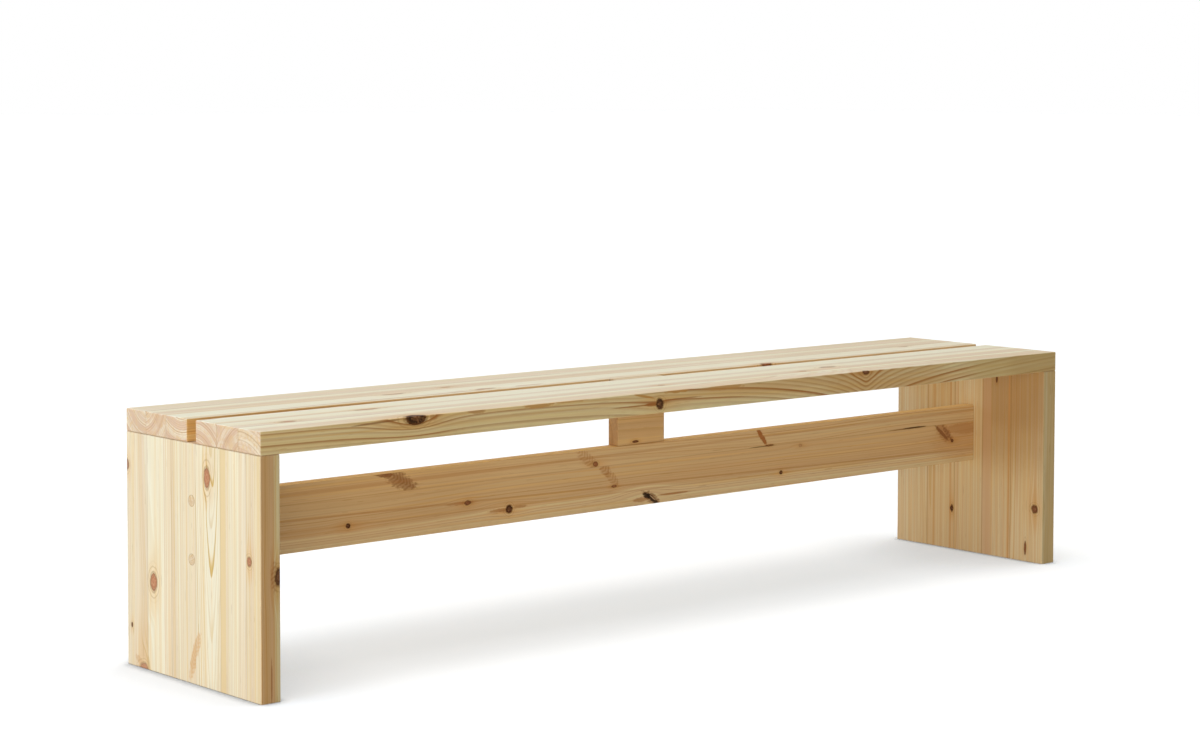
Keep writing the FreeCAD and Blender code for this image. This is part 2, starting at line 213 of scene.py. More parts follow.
class Field:
    """A value that varies over a surface: a node socket that takes part in arithmetic."""

    def __init__(self, tree, socket):
        self.tree = tree
        self.socket = socket

    def node(self, kind, inputs, output=0, **settings):
        """Adds a node, feeds its inputs by name or number, and gives one of its outputs."""
        node = self.tree.nodes.new(kind)
        for name, value in settings.items():
            setattr(node, name, value)
        for key, value in inputs.items():
            feed(self.tree, node.inputs[key], value)
        return Field(self.tree, node.outputs[output])

    def math(self, operation, other=0.0):
        return self.node("ShaderNodeMath", {0: self, 1: other}, operation=operation)

    def __add__(self, other):
        return self.math("ADD", other)

    def __sub__(self, other):
        return self.math("SUBTRACT", other)

    def __mul__(self, other):
        return self.math("MULTIPLY", other)

    def __truediv__(self, other):
        return self.math("DIVIDE", other)

    def bell(self):
        """1 where the value is 0, falling smoothly to 0 away from there."""
        return (self * self * -1.0).math("EXPONENT")

    def step(self, start, end, low=0.0, high=1.0, shape="SMOOTHSTEP"):
        """Goes from low to high while the value goes from start to end."""
        inputs = {"Value": self, "From Min": start, "From Max": end, "To Min": low, "To Max": high}
        return self.node("ShaderNodeMapRange", inputs, interpolation_type=shape)

    def vector(self, operation, other=(0.0, 0.0, 0.0)):
        return self.node("ShaderNodeVectorMath", {0: self, 1: other}, operation=operation)

    def measure(self, operation, other=(0.0, 0.0, 0.0)):
        """A vector operation that gives one number."""
        return self.node("ShaderNodeVectorMath", {0: self, 1: other}, "Value", operation=operation)

    def scaled(self, factor):
        return self.node("ShaderNodeVectorMath", {0: self, "Scale": factor}, operation="SCALE")

    def part(self, axis):
        return self.node("ShaderNodeSeparateXYZ", {0: self}, axis)

    def noise(self, scale, detail=1.0, output="Fac"):
        """Cloudy noise; scale is the number of clouds per metre along each axis."""
        inputs = {"Vector": self.vector("MULTIPLY", scale), "Scale": 1.0, "Detail": detail}
        return self.node("ShaderNodeTexNoise", inputs, output)

    def noise_line(self):
        """Noise along one number."""
        inputs = {"W": self, "Scale": 1.0, "Detail": 1.0}
        return self.node("ShaderNodeTexNoise", inputs, "Fac", noise_dimensions="1D")

    def dice(self):
        """A random number from 0 to 1 for each different value."""
        return self.node("ShaderNodeTexWhiteNoise", {"W": self}, "Value", noise_dimensions="1D")

    def mix(self, other, factor, blend="MIX"):
        """This colour turned towards another one."""
        inputs = {0: factor, 6: self, 7: other}
        return self.node("ShaderNodeMix", inputs, 2, data_type="RGBA", blend_type=blend)


def feed(tree, socket, value):
    """Links a field to a socket, or writes a plain value into it."""
    if isinstance(value, Field):
        tree.links.new(value.socket, socket)
    elif socket.type == "RGBA":
        socket.default_value = (*value, 1.0)
    else:
        socket.default_value = value


def combine(tree, *parts):
    """A vector from three numbers."""
    node = tree.nodes.new("ShaderNodeCombineXYZ")
    for socket, value in zip(node.inputs, parts):
        feed(tree, socket, value)
    return Field(tree, node.outputs[0])


def plain_colour(tree, colour):
    node = tree.nodes.new("ShaderNodeRGB")
    node.outputs[0].default_value = (*colour, 1.0)
    return Field(tree, node.outputs[0])


def new_group(name, inputs, outputs):
    """An empty node group with named sockets; gives its tree, its input fields and its output sockets."""
    tree = bpy.data.node_groups.new(name, "ShaderNodeTree")
    for direction, sockets in (("INPUT", inputs), ("OUTPUT", outputs)):
        for socket_name, kind in sockets.items():
            tree.interface.new_socket(socket_name, in_out=direction, socket_type="NodeSocket" + kind)
    entry = tree.nodes.new("NodeGroupInput")
    fields = [Field(tree, entry.outputs[socket_name]) for socket_name in inputs]
    return tree, fields, tree.nodes.new("NodeGroupOutput").inputs


def use_group(tree, group, values):
    """Places a group in a tree, with its inputs by name; gives its outputs as fields, in order."""
    node = tree.nodes.new("ShaderNodeGroup")
    node.node_tree = group
    for name, value in values.items():
        feed(tree, node.inputs[name], value)
    return [Field(tree, socket) for socket in node.outputs]


def knot_shape_group():
    """How far a point is from a branch that runs through the wood, and how the fibres part round it."""
    tree, fields, outputs = new_group(
        "Knot shape",
        {"Position": "Vector", "Place": "Vector", "Direction": "Vector", "Radius": "Float",
         "Length": "Float", "Stretch": "Float", "Ragged": "Float", "Pointed": "Float", "Swell": "Float",
         "Spread": "Float", "Across": "Float"},
        {"Reach": "Float", "Halo": "Float", "Shift": "Vector", "Bulge": "Float"})
    position, place, direction, radius, length, stretch = fields[:6]
    ragged, pointed, swell, spread, loop_across = fields[6:]
    offset = position.vector("SUBTRACT", place)
    depth = offset.measure("DOT_PRODUCT", direction)
    side = offset.vector("SUBTRACT", direction.scaled(depth))
    front_taper = (depth / length).step(1.0, 0.0, KNOT_TIP, 1.0, "LINEAR")
    taper = front_taper * (depth / radius).step(-2.0, -0.5, KNOT_TIP, 1.0)
    tear = position.noise(KNOT_TEAR, 3.0, "Color").vector("SUBTRACT", NOISE_CENTRE)
    ragged_side = side.vector("ADD", tear.scaled(radius * ragged))
    squeezed = ragged_side.vector("DIVIDE", combine(tree, stretch, 1.0, 1.0))
    round_reach = squeezed.measure("LENGTH")
    lozenge_reach = squeezed.vector("ABSOLUTE").measure("DOT_PRODUCT", (1.0, 1.0, 1.0))
    across = round_reach + (lozenge_reach - round_reach) * pointed
    flow = side.vector("MULTIPLY", (LOOP_SLIMNESS, 1.0, 1.0)).measure("LENGTH")
    halo = (flow / taper / (radius * HALO_REACH)).bell()
    feed(tree, outputs["Reach"], across / (radius * taper))
    feed(tree, outputs["Halo"], halo)
    push = side.vector("MULTIPLY", (0.0, -FIBRE_PUSH, -FIBRE_PUSH))
    feed(tree, outputs["Shift"], push.scaled(halo))
    loop_shape = combine(tree, LOOP_SLIMNESS, loop_across, loop_across)
    loop = side.vector("MULTIPLY", loop_shape).measure("LENGTH")
    feed(tree, outputs["Bulge"], (loop / spread * -1.0).math("EXPONENT") * swell)
    return tree


def knot_paint_group():
    """Paints one knot over the wood: a warm halo, the mottled branch and its dark bark line."""
    tree, fields, outputs = new_group(
        "Knot paint",
        {"Colour": "Color", "Position": "Vector", "Reach": "Float", "Halo": "Float", "Darkness": "Float",
         "Strength": "Float"},
        {"Colour": "Color"})
    colour, position, reach, halo, darkness, strength = fields
    mottle = position.noise(KNOT_MOTTLE, 3.0)
    fuzz = position.noise(KNOT_FUZZ, 2.0) - NOISE_MIDDLE
    outline = reach + fuzz * KNOT_FRAY
    rings = ((reach * BRANCH_RINGS + mottle * BRANCH_WOBBLE).math("SINE") + 1.0) * 0.25
    heart = plain_colour(tree, LIVE_KNOT).mix(PALE_KNOT, rings + mottle.step(0.45, 0.65, 0.0, 0.4))
    dead = darkness * mottle.step(0.72, 0.48, 0.6, 1.0) * reach.step(0.2, 0.7, 0.75, 1.0)
    heart = heart.mix(DEAD_KNOT, dead)
    rim = ((outline - 0.95) * 5.0).bell() * mottle.step(0.30, 0.55, 0.35, 1.0)
    swirl = (reach * SWIRL_RINGS + mottle * SWIRL_WOBBLE).math("SINE").step(0.2, 1.0)
    swirl = swirl * ((reach - 1.4) * 1.5).bell()
    warm = colour.mix(KNOT_HALO, halo * 0.7, "MULTIPLY").mix(LATEWOOD, swirl * 0.4)
    painted = warm.mix(heart, outline.step(1.05, 0.94))
    painted = painted.mix(KNOT_RIM, rim * (darkness * 0.35 + 0.5))
    feed(tree, outputs["Colour"], colour.mix(painted, strength))
    return tree


def feather_group():
    """A spindle-shaped patch in a board's face, with chevrons where the fibres cross a branch in it."""
    tree, fields, outputs = new_group(
        "Feather",
        {"Colour": "Color", "Position": "Vector", "Place": "Vector", "Direction": "Vector",
         "Length": "Float", "Width": "Float", "Tone": "Color", "Strength": "Float", "Barbs": "Float",
         "Ragged": "Float", "Inward": "Vector", "Facing": "Vector"},
        {"Colour": "Color"})
    colour, position, place, direction, length, width = fields[:6]
    tone, strength, barbs, ragged, inward, facing = fields[6:]
    offset = position.vector("SUBTRACT", place)
    depth = offset.measure("DOT_PRODUCT", direction)
    side = offset.vector("SUBTRACT", direction.scaled(depth)).measure("LENGTH")
    along = depth / length
    across = side / width
    tear = position.noise(PATCH_TEAR, 3.0) - NOISE_MIDDLE
    patch = (along * along + across * across + tear * ragged).step(1.0, 0.35)
    wave = (depth * CHEVRON_ALONG + side * CHEVRON_ASIDE + tear * CHEVRON_TEAR).math("SINE")
    chevron = wave * 0.5 + 0.5
    on_face = facing.measure("DOT_PRODUCT", inward.vector("ABSOLUTE")).step(0.4, 0.8)
    near_face = offset.measure("DOT_PRODUCT", inward).step(PATCH_DEEP, PATCH_SHALLOW)
    shown = patch * strength * ((chevron - 1.0) * barbs + 1.0) * on_face * near_face
    feed(tree, outputs["Colour"], colour.mix(tone, shown))
    return tree


def pine_group():
    """Solid pine with year rings round a pith line; position is along the fibres, width and thickness."""
    tree, fields, outputs = new_group(
        "Pine",
        {"Position": "Vector", "Shift": "Vector", "Bulge": "Float", "Pith": "Vector", "Lean": "Vector",
         "Ring width": "Float", "Heart": "Float", "Seed": "Float", "Contrast": "Float", "Gold": "Float",
         "Blush": "Float", "Stripe": "Float", "Warmth": "Float", "Late": "Color", "Late start": "Float",
         "End": "Float"},
        {"Colour": "Color", "Roughness": "Float", "Height": "Float"})
    position, shift, bulge, pith, lean, ring_width, heart_radius = fields[:7]
    seed, contrast, gold, blush, stripe, warmth, late_colour, late_start, end = fields[7:]
    own = position.vector("ADD", combine(tree, *(seed * move for move in SEED_MOVE)))
    wander = own.noise(WANDER, 1.0, "Color").vector("SUBTRACT", NOISE_CENTRE).scaled(WANDER_REACH)
    pith_line = pith.vector("ADD", lean.scaled(position.part(0)))
    from_pith = position.vector("ADD", shift).vector("SUBTRACT", pith_line).vector("ADD", wander)
    shimmer = (own.noise(SHIMMER) - NOISE_MIDDLE) * SHIMMER_REACH
    radius = from_pith.vector("MULTIPLY", (0.0, 1.0, 1.0)).measure("LENGTH") + bulge + shimmer
    years = radius / ring_width + seed
    years = years + (years * YEAR_DRIFT_RATE).noise_line() * YEAR_DRIFT
    phase = years.math("FRACT")
    latewood = phase.step(late_start, LATE_FULL) * phase.step(1.0, LATE_FALL)
    chance = years.math("FLOOR").dice()
    year_strength = (chance * chance).step(0.0, 1.0, WEAK_YEAR, 1.0)
    gold_band = (years * GOLD_RATE + seed * GOLD_SEED).noise_line().step(BAND_START, BAND_FULL)
    blush_band = (years * BLUSH_RATE + seed * BLUSH_SEED).noise_line().step(BAND_START, BAND_FULL)
    heartwood = (radius - heart_radius).step(HEART_BLUR, -HEART_BLUR)
    blotch = own.noise(BLOTCH, 2.0) - NOISE_MIDDLE
    streak = own.noise(STREAK, 2.0) - NOISE_MIDDLE
    fibre = own.noise(FIBRE, 2.0) - NOISE_MIDDLE
    dash = own.noise(DASH, 1.0).step(0.70, 0.75)
    wide_stripe = own.noise(WIDE_STRIPE).step(0.56, 0.60)
    fine_stripe = own.noise(FINE_STRIPE).step(0.58, 0.63)
    stripes = wide_stripe.math("MAXIMUM", fine_stripe)
    colour = plain_colour(tree, EARLYWOOD).mix(GOLD, gold_band * gold)
    colour = colour.mix(BLUSH, blush_band * (end * 0.5 + blush))
    colour = colour.mix(HEARTWOOD, heartwood * warmth * (blotch + 1.0))
    colour = colour.mix(ORANGE, stripes * stripe)
    colour = colour.mix(GOLD, streak.step(0.03, 0.14, 0.0, 0.6))
    colour = colour.mix(late_colour, latewood * year_strength * contrast * (end * 0.6 + 1.0))
    colour = colour.mix(LATEWOOD, dash * DASH_SHARE)
    lightness = fibre * FIBRE_SHARE + streak * STREAK_SHARE + blotch * BLOTCH_SHARE + 1.0
    colour = colour.scaled(lightness)
    feed(tree, outputs["Colour"], colour)
    feed(tree, outputs["Roughness"], fibre * 0.25 - latewood * 0.08 + end * 0.12 + PINE_ROUGHNESS)
    feed(tree, outputs["Height"], latewood * 0.5 + fibre)
    return tree


KNOT_SHAPE = knot_shape_group()
KNOT_PAINT = knot_paint_group()
FEATHER = feather_group()
PINE = pine_group()


def knot(place, radius, darkness=0.05, stretch=1.2, strength=1.0, length=1.0, ragged=0.7,
         pointed=0.05, swell=None, spread=None, across=1.0):
    """A branch in the wood; place is a point and the way it runs from there, getting thinner."""
    point, direction = place
    shape = {"Radius": radius, "Length": length, "Stretch": stretch, "Ragged": ragged, "Pointed": pointed,
             "Swell": radius * PLAIN_SWELL if swell is None else swell,
             "Spread": radius * PLAIN_SPREAD if spread is None else spread, "Across": across}
    paint = {"Darkness": darkness, "Strength": strength}
    return {"point": point, "direction": direction.normalized(), "shape": shape, "paint": paint}


def nearest_axis(direction):
    """The row axis, forwards or backwards, that is nearest to a direction."""
    largest = max(abs(part) for part in direction)
    return Vector(round(part / largest) if abs(part) == largest else 0.0 for part in direction)


def feather(place, direction, length, width, tone=SPIKE, strength=0.8, barbs=0.0, ragged=1.6):
    """A patch of another tone in a board's face; length and width are half sizes."""
    point, inward = place
    patch = {"Length": length, "Width": width, "Tone": tone, "Strength": strength, "Barbs": barbs,
             "Ragged": ragged}
    return {"point": point, "inward": nearest_axis(inward), "direction": Vector(direction).normalized(),
            "patch": patch}


def shade(place, direction, length, strength):
    """A wide soft patch of painted shade, where less light falls."""
    return feather(place, direction, length, SHADE_WIDTH, SHADED_WOOD, strength, ragged=0.2)


def band(place, direction, width, tone, strength):
    """A stripe of another tone that runs along the whole board."""
    return feather(place, direction, WHOLE_BOARD, width, tone, strength, ragged=0.25)


# Places on the faces, in metres from left end, front edge and floor, and the way a branch runs in there

def on_seat(left, front):
    return Vector((LOW.x + left, LOW.y + front, HIGH.z)), Vector((0.12, 0.05, -1.0))


def on_seat_edge(left, floor):
    return Vector((LOW.x + left, LOW.y, floor)), Vector((0.08, 1.0, -0.45))


def on_gap_wall(left, floor):
    return Vector((LOW.x + left, GAP_WALL, floor)), Vector((0.0, 1.0, 0.0))


def on_left_leg(front, floor):
    return Vector((LOW.x, LOW.y + front, floor)), Vector((1.0, 0.06, 0.15))


def on_left_leg_edge(left, floor):
    return Vector((LOW.x + left, LOW.y, floor)), Vector((0.1, 1.0, 0.1))


def on_right_leg(front, floor):
    return Vector((LEG_INNER_RIGHT, LOW.y + front, floor)), Vector((1.0, 0.06, 0.15))


def on_stretcher(left, floor):
    return Vector((LOW.x + left, RAIL_FRONT, floor)), Vector((0.1, 1.0, 0.06))


# Knots that show, and two that are hidden and only turn the fibres
KNOTS = [
    knot(on_seat(0.107, 0.080), 0.007, stretch=2.2, strength=0.8),
    knot(on_seat(0.306, 0.131), 0.006, stretch=4.5, strength=0.8),
    knot(on_seat(0.476, 0.288), 0.008, stretch=3.0, strength=0.8),
    knot(on_seat(0.614, 0.311), 0.005, stretch=2.0, strength=0.7),
    knot(on_seat(0.655, 0.244), 0.007, stretch=3.0, strength=0.7),
    knot(on_seat(0.944, 0.076), 0.006, strength=0.7),
    knot(on_seat(1.363, 0.226), 0.008, darkness=0.35, stretch=1.8),
    knot(on_seat(1.412, 0.100), 0.009, darkness=0.15, stretch=2.2, strength=0.7),
    knot(on_seat(1.321, 0.077), 0.006, strength=0.7),
    knot(on_seat(1.833, 0.287), 0.007, stretch=2.0, strength=0.7),
    knot(on_seat_edge(0.315, 0.4475), 0.0125, darkness=0.97, stretch=1.75, length=0.050, ragged=0.4,
         swell=0.030, spread=0.016, across=0.90),
    knot(on_seat_edge(0.873, 0.428), 0.009, darkness=0.93, stretch=1.0, swell=0.006, spread=0.022),
    knot(on_seat_edge(1.420, 0.448), 0.005, darkness=0.7, stretch=1.8, length=0.03, swell=0.064,
         spread=0.085, across=0.12),
    knot(on_seat_edge(1.420, 0.449), 0.005, strength=0.0, length=0.03, swell=0.018, spread=0.010,
         across=0.12),
    knot(on_left_leg(0.162, 0.356), 0.0088, darkness=0.03, stretch=2.1, ragged=0.5, swell=-0.004,
         spread=0.030),
    knot(on_left_leg(0.333, 0.156), 0.0105, darkness=0.0, stretch=1.5, ragged=0.3),
    knot(on_left_leg(0.034, 0.232), 0.0065, darkness=0.1, ragged=0.5),
    knot(on_left_leg(0.405, 0.071), 0.0028, darkness=0.9, stretch=1.6),
    knot(on_left_leg(0.419, 0.352), 0.006, darkness=0.35, stretch=1.8, length=0.016),
    knot(on_left_leg(0.366, 0.000), 0.014, darkness=0.0, stretch=0.7, strength=0.9),
    knot(on_left_leg_edge(0.036, 0.208), 0.0085, darkness=0.75, stretch=1.7, length=0.030),
    knot(on_stretcher(0.311, 0.237), 0.0046, darkness=0.95, stretch=1.0),
    knot(on_stretcher(0.577, 0.250), 0.0045, darkness=0.6, stretch=1.5, ragged=1.6),
    knot(on_stretcher(0.674, 0.229), 0.0075, darkness=0.93, stretch=1.0),
    knot(on_stretcher(0.884, 0.293), 0.0048, darkness=0.4),
    knot(on_stretcher(0.931, 0.246), 0.0025, darkness=0.5, stretch=2.6),
    knot(on_stretcher(1.022, 0.217), 0.011, strength=0.0, stretch=1.5),
    knot(on_stretcher(1.345, 0.288), 0.0017, darkness=0.8, stretch=9.0),
    knot(on_stretcher(1.433, 0.280), 0.0035, darkness=0.1, strength=0.6),
    knot(on_stretcher(1.378, 0.230), 0.0042, darkness=0.97, stretch=1.0),
    knot(on_stretcher(1.893, 0.250), 0.0035, darkness=0.8, stretch=1.1),
    knot(on_stretcher(0.985, 0.3275), 0.0024, darkness=0.8, stretch=3.2),
    knot(on_right_leg(0.257, 0.089), 0.005, darkness=0.93, stretch=1.9, pointed=0.5),
    knot(on_right_leg(0.022, 0.115), 0.0085, darkness=0.62, stretch=1.0),
    knot(on_right_leg(0.047, 0.028), 0.003, darkness=0.5, stretch=6.5),
    knot(on_right_leg(0.131, 0.383), 0.0025, darkness=0.8, stretch=3.0),
]


ALONG = (1.0, 0.0, 0.0)
UPRIGHT = (0.0, 0.0, 1.0)
SEAT_STAVES = [f"seat_{row}_stave_{number}" for row in ("front", "rear") for number in (1, 2, 3)]
SEAT_ROWS = [(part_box(stave)[0].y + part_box(stave)[1].y) / 2 - LOW.y for stave in SEAT_STAVES]

# Stripes along whole boards: place from the front edge, half width, tone and strength
PANEL_MIDDLE = 0.20
SEAT_MIDDLE = 1.0
LEFT_BANDS = ((0.113, 0.0105, GOLD, 0.95), (0.070, 0.026, CREAM, 0.10), (0.278, 0.010, BLUSH, 0.25),
              (0.320, 0.025, CREAM, 0.2), (0.002, 0.014, GOLD, 0.5), (0.374, 0.014, BLUSH, 0.25))
SEAT_BANDS = ((0.024, 0.020, BLUSH, 0.30), (0.057, 0.007, CREAM, 0.6), (0.083, 0.012, BLUSH, 0.35),
              (0.115, 0.018, CREAM, 0.6), (0.170, 0.028, CREAM, 0.6), (0.265, 0.028, CREAM, 0.6),
              (0.318, 0.013, BLUSH, 0.25), (0.347, 0.007, CREAM, 0.6), (0.376, 0.014, BLUSH, 0.35))
RIGHT_BANDS = ((0.0955, 0.0025, ORANGE, 0.8), (0.300, 0.120, GOLD, 0.30), (0.158, 0.015, BLUSH, 0.6),
               (0.262, 0.0035, ORANGE, 0.7), (0.310, 0.004, ORANGE, 0.5), (0.350, 0.003, GOLD, 0.7))

# Patches and streaks where the fibres meet a branch, patches of painted shade and painted light, and
# stripes along the boards
FEATHERS = [
    shade(on_seat_edge(0.130, 0.430), ALONG, 0.4, 0.06),
    feather(on_seat_edge(0.353, 0.447), ALONG, 0.011, 0.008, RED_SPIKE, 0.5),
    feather(on_seat_edge(0.445, 0.449), ALONG, 0.024, 0.006, RED_SPIKE, 0.55),
    feather(on_seat_edge(0.585, 0.447), ALONG, 0.040, 0.005, FLAME, 0.8),
    feather(on_seat_edge(0.660, 0.449), ALONG, 0.050, 0.003, FLAME, 0.7),
    feather(on_seat_edge(0.810, 0.4275), ALONG, 0.065, 0.0016, RED_SPIKE, 0.8, ragged=0.8),
    feather(on_seat_edge(0.854, 0.4275), ALONG, 0.022, 0.004, RED_SPIKE, 0.8, ragged=0.8),
    feather(on_seat_edge(0.930, 0.4335), ALONG, 0.060, 0.0016, RED_SPIKE, 0.7, ragged=0.8),
    feather(on_seat_edge(0.835, 0.444), (1.0, 0.0, -0.20), 0.030, 0.0028, FLAME, 0.9, ragged=0.8),
    feather(on_seat_edge(0.915, 0.448), ALONG, 0.032, 0.0045, FLAME, 0.9),
    feather(on_seat_edge(1.035, 0.446), ALONG, 0.055, 0.0055, FLAME, 0.7),
    feather(on_seat_edge(1.200, 0.447), ALONG, 0.260, 0.02, FLAME, 0.22, ragged=0.3),
    feather(on_seat_edge(1.480, 0.432), ALONG, 0.200, 0.05, FLAME, 0.30, ragged=0.3),
    feather(on_seat_edge(0.235, 0.4455), (1.0, 0.0, 0.04), 0.060, 0.0022, SPIKE, 0.7, ragged=0.6),
    feather(on_seat_edge(1.415, 0.448), ALONG, 0.030, 0.009, FLAME, 0.5, ragged=0.8),
    feather(on_seat_edge(1.930, 0.435), ALONG, 0.240, 0.06, OLIVE_WOOD, 0.45, ragged=0.3),
    feather(on_seat_edge(0.600, 0.42), ALONG, 0.250, 0.014, CREAM, 0.35, ragged=0.5),
    feather(on_seat_edge(1.000, 0.414), ALONG, 0.330, 0.013, CREAM, 0.35, ragged=0.5),
    feather(on_left_leg(0.201, 0.050), (0.0, 0.36, -1.0), 0.050, 0.012, ORANGE, 0.95, barbs=0.3),
    feather(on_left_leg(0.195, 0.066), (0.0, 0.36, -1.0), 0.032, 0.010, ORANGE, 0.8, barbs=0.3),
    feather(on_left_leg(0.380, 0.012), (0.0, 1.0, 0.5), 0.020, 0.007, FLAME, 0.4),
    feather(on_left_leg_edge(0.035, 0.330), UPRIGHT, 0.110, 0.0055, CREAM, 0.45, ragged=0.6),
    feather(on_left_leg_edge(0.035, 0.080), UPRIGHT, 0.120, 0.005, CREAM, 0.35, ragged=0.6),
    feather(on_left_leg_edge(0.020, 0.035), UPRIGHT, 0.045, 0.0022, RED_SPIKE, 0.6, ragged=0.6),
    feather(on_left_leg_edge(0.027, 0.208), UPRIGHT, 0.030, 0.01, RED_SPIKE, 0.5, barbs=0.6),
    feather(on_stretcher(0.424, 0.307), (0.80, 0.0, -0.42), 0.050, 0.0165, barbs=0.35, ragged=2.2),
    feather(on_stretcher(0.432, 0.304), (0.80, 0.0, -0.45), 0.034, 0.007, SPIKE, 0.6, barbs=0.6,
            ragged=2.2),
    shade(on_stretcher(0.200, 0.305), ALONG, 0.5, 0.17),
    shade(on_stretcher(0.200, 0.245), ALONG, 0.5, 0.16),
    feather(on_stretcher(0.390, 0.3195), (1.0, 0.0, -0.10), 0.024, 0.0045),
    feather(on_stretcher(0.560, 0.251), ALONG, 0.040, 0.0035, RED_SPIKE, 0.4),
    feather(on_stretcher(0.655, 0.229), ALONG, 0.035, 0.0035, RED_SPIKE, 0.6),
    feather(on_stretcher(0.698, 0.231), ALONG, 0.022, 0.003, RED_SPIKE, 0.5),
    feather(on_stretcher(0.862, 0.306), (0.75, 0.0, -0.55), 0.036, 0.013, RED_SPIKE, 0.45, barbs=0.7),
    feather(on_stretcher(0.908, 0.28), (0.60, 0.0, -0.60), 0.020, 0.012, RED_SPIKE, 0.60, barbs=0.6),
    feather(on_stretcher(0.926, 0.262), (0.60, 0.0, -0.60), 0.024, 0.011, RED_SPIKE, 0.50, barbs=0.7),
    feather(on_stretcher(0.998, 0.213), ALONG, 0.022, 0.005, RED_SPIKE, 0.6),
    feather(on_stretcher(1.024, 0.215), (0.88, 0.0, -0.48), 0.029, 0.011, SPIKE, 0.75),
    feather(on_stretcher(1.014, 0.22), (0.95, 0.0, -0.30), 0.012, 0.006, DEAD_KNOT, 0.9),
    feather(on_stretcher(1.027, 0.2135), (0.80, 0.0, -0.60), 0.022, 0.0058, DEAD_KNOT, 0.9),
    feather(on_stretcher(1.030, 0.214), (0.80, 0.0, -0.60), 0.011, 0.0016, BLUSH, 0.7, ragged=0.6),
    feather(on_stretcher(1.085, 0.217), ALONG, 0.050, 0.0025, RED_SPIKE, 0.7, ragged=0.8),
    feather(on_stretcher(1.323, 0.308), (0.62, 0.0, -0.78), 0.026, 0.006, RED_SPIKE, 0.95),
    feather(on_stretcher(1.325, 0.2875), ALONG, 0.042, 0.0013, DEAD_KNOT, 0.7, ragged=0.6),
    feather(on_stretcher(1.748, 0.2875), ALONG, 0.065, 0.0014, SPIKE, 0.9, ragged=0.6),
    feather(on_stretcher(1.775, 0.288), ALONG, 0.042, 0.0021, DEAD_KNOT, 0.9, ragged=0.6),
    feather(on_stretcher(1.940, 0.273), (1.0, 0.0, -0.05), 0.085, 0.014, RED_SPIKE, 0.42, ragged=1.2),
    feather(on_stretcher(1.930, 0.255), ALONG, 0.120, 0.06, FLAME, 0.25, ragged=0.5),
    feather(on_stretcher(1.868, 0.269), (0.72, 0.0, -0.60), 0.036, 0.017, RED_SPIKE, 0.5),
    feather(on_stretcher(1.860, 0.269), (0.76, 0.0, -0.62), 0.034, 0.0048, SPIKE, 0.9, ragged=1.0),
    feather(on_stretcher(1.877, 0.267), (0.62, 0.0, -0.70), 0.028, 0.006, barbs=0.5),
    # Painted shade under the seat on the right panel, and towards the right end on the seat's front edge
    # and top
    *(shade(on_right_leg(front, 0.408), UPRIGHT, length, 0.40)
      for front in (0.045, 0.130) for length in (0.15, 0.25)),
    *(shade(on_seat_edge(2.000, 0.430), ALONG, length, 0.28) for length in (0.18, 0.32)),
    *(shade(on_seat(1.962, front), ALONG, 0.6, 0.15) for front in SEAT_ROWS),
    # Painted light on the wall of the gap between the planks
    feather(on_gap_wall(1.350, 0.440), ALONG, 1.200, 0.05, GAP_PAINTED_LIGHT, 0.9, ragged=0.2),
    *(band(on_left_leg(front, PANEL_MIDDLE), UPRIGHT, *look) for front, *look in LEFT_BANDS),
    *(band(on_seat(SEAT_MIDDLE, front), ALONG, *look) for front, *look in SEAT_BANDS),
    band(on_stretcher(0.5, 0.305), (1.0, 0.0, 0.004), 0.003, RED_LATEWOOD, 0.35),
    band(on_stretcher(0.5, 0.2535), (1.0, 0.0, -0.018), 0.0022, RED_LATEWOOD, 0.45),
    band(on_stretcher(0.5, 0.2365), (1.0, 0.0, -0.008), 0.0018, RED_LATEWOOD, 0.3),
    *(band(on_right_leg(front, PANEL_MIDDLE), UPRIGHT, *look) for front, *look in RIGHT_BANDS),
]


def grain(width_off, depth_off, lean=0.0, ring=0.0036, heart=0.0, contrast=0.45, gold=0.5, blush=0.3,
          stripe=0.3, warmth=0.5, late=LATEWOOD, edge_contrast=0.0, edge_warmth=0.0, glue=0.35):
    """Where a board's pith runs, in metres from the board's middle, and how strongly its years show."""
    return {"Pith": (0.0, width_off, depth_off), "Lean": (0.0, 0.0, lean), "Ring width": ring,
            "Heart": heart, "Contrast": contrast, "Gold": gold, "Blush": blush, "Stripe": stripe,
            "Warmth": warmth, "Late": late, "Edge contrast": edge_contrast, "Edge warmth": edge_warmth,
            "Glue": glue}


def seat_grain(width_off, depth_off, lean, stripe):
    """A seat stave with pinkish year lines."""
    return grain(width_off, depth_off, lean, contrast=0.9, gold=0.2, stripe=stripe, late=PINK_LATEWOOD)


def left_grain(width_off, depth_off, **values):
    """A stave of the left end panel, with golden year lines."""
    return grain(width_off, depth_off, contrast=0.7, late=GOLDEN_LATEWOOD, **values)


def right_grain(width_off, depth_off, lean, late=GOLDEN_LATEWOOD, gold=0.5, blush=0.1, stripe=0.3):
    """A stave of the right end panel, with plainer glue lines."""
    return grain(width_off, depth_off, lean, contrast=0.6, gold=gold, blush=blush, stripe=stripe,
                 late=late, glue=0.6)


def rail_grain(width_off, depth_off, lean, heart, warmth):
    """A stave of the stretcher, with fine reddish year lines."""
    return grain(width_off, depth_off, lean, ring=0.0030, heart=heart, contrast=0.6, gold=0.2, stripe=0.1,
                 warmth=warmth, late=RED_LATEWOOD)


NOT_IN_GROUP = ("Edge contrast", "Edge warmth", "Glue")

# How much more the year lines show on an edge for each metre that a branch pushes them out
LOOP_CONTRAST = 40.0

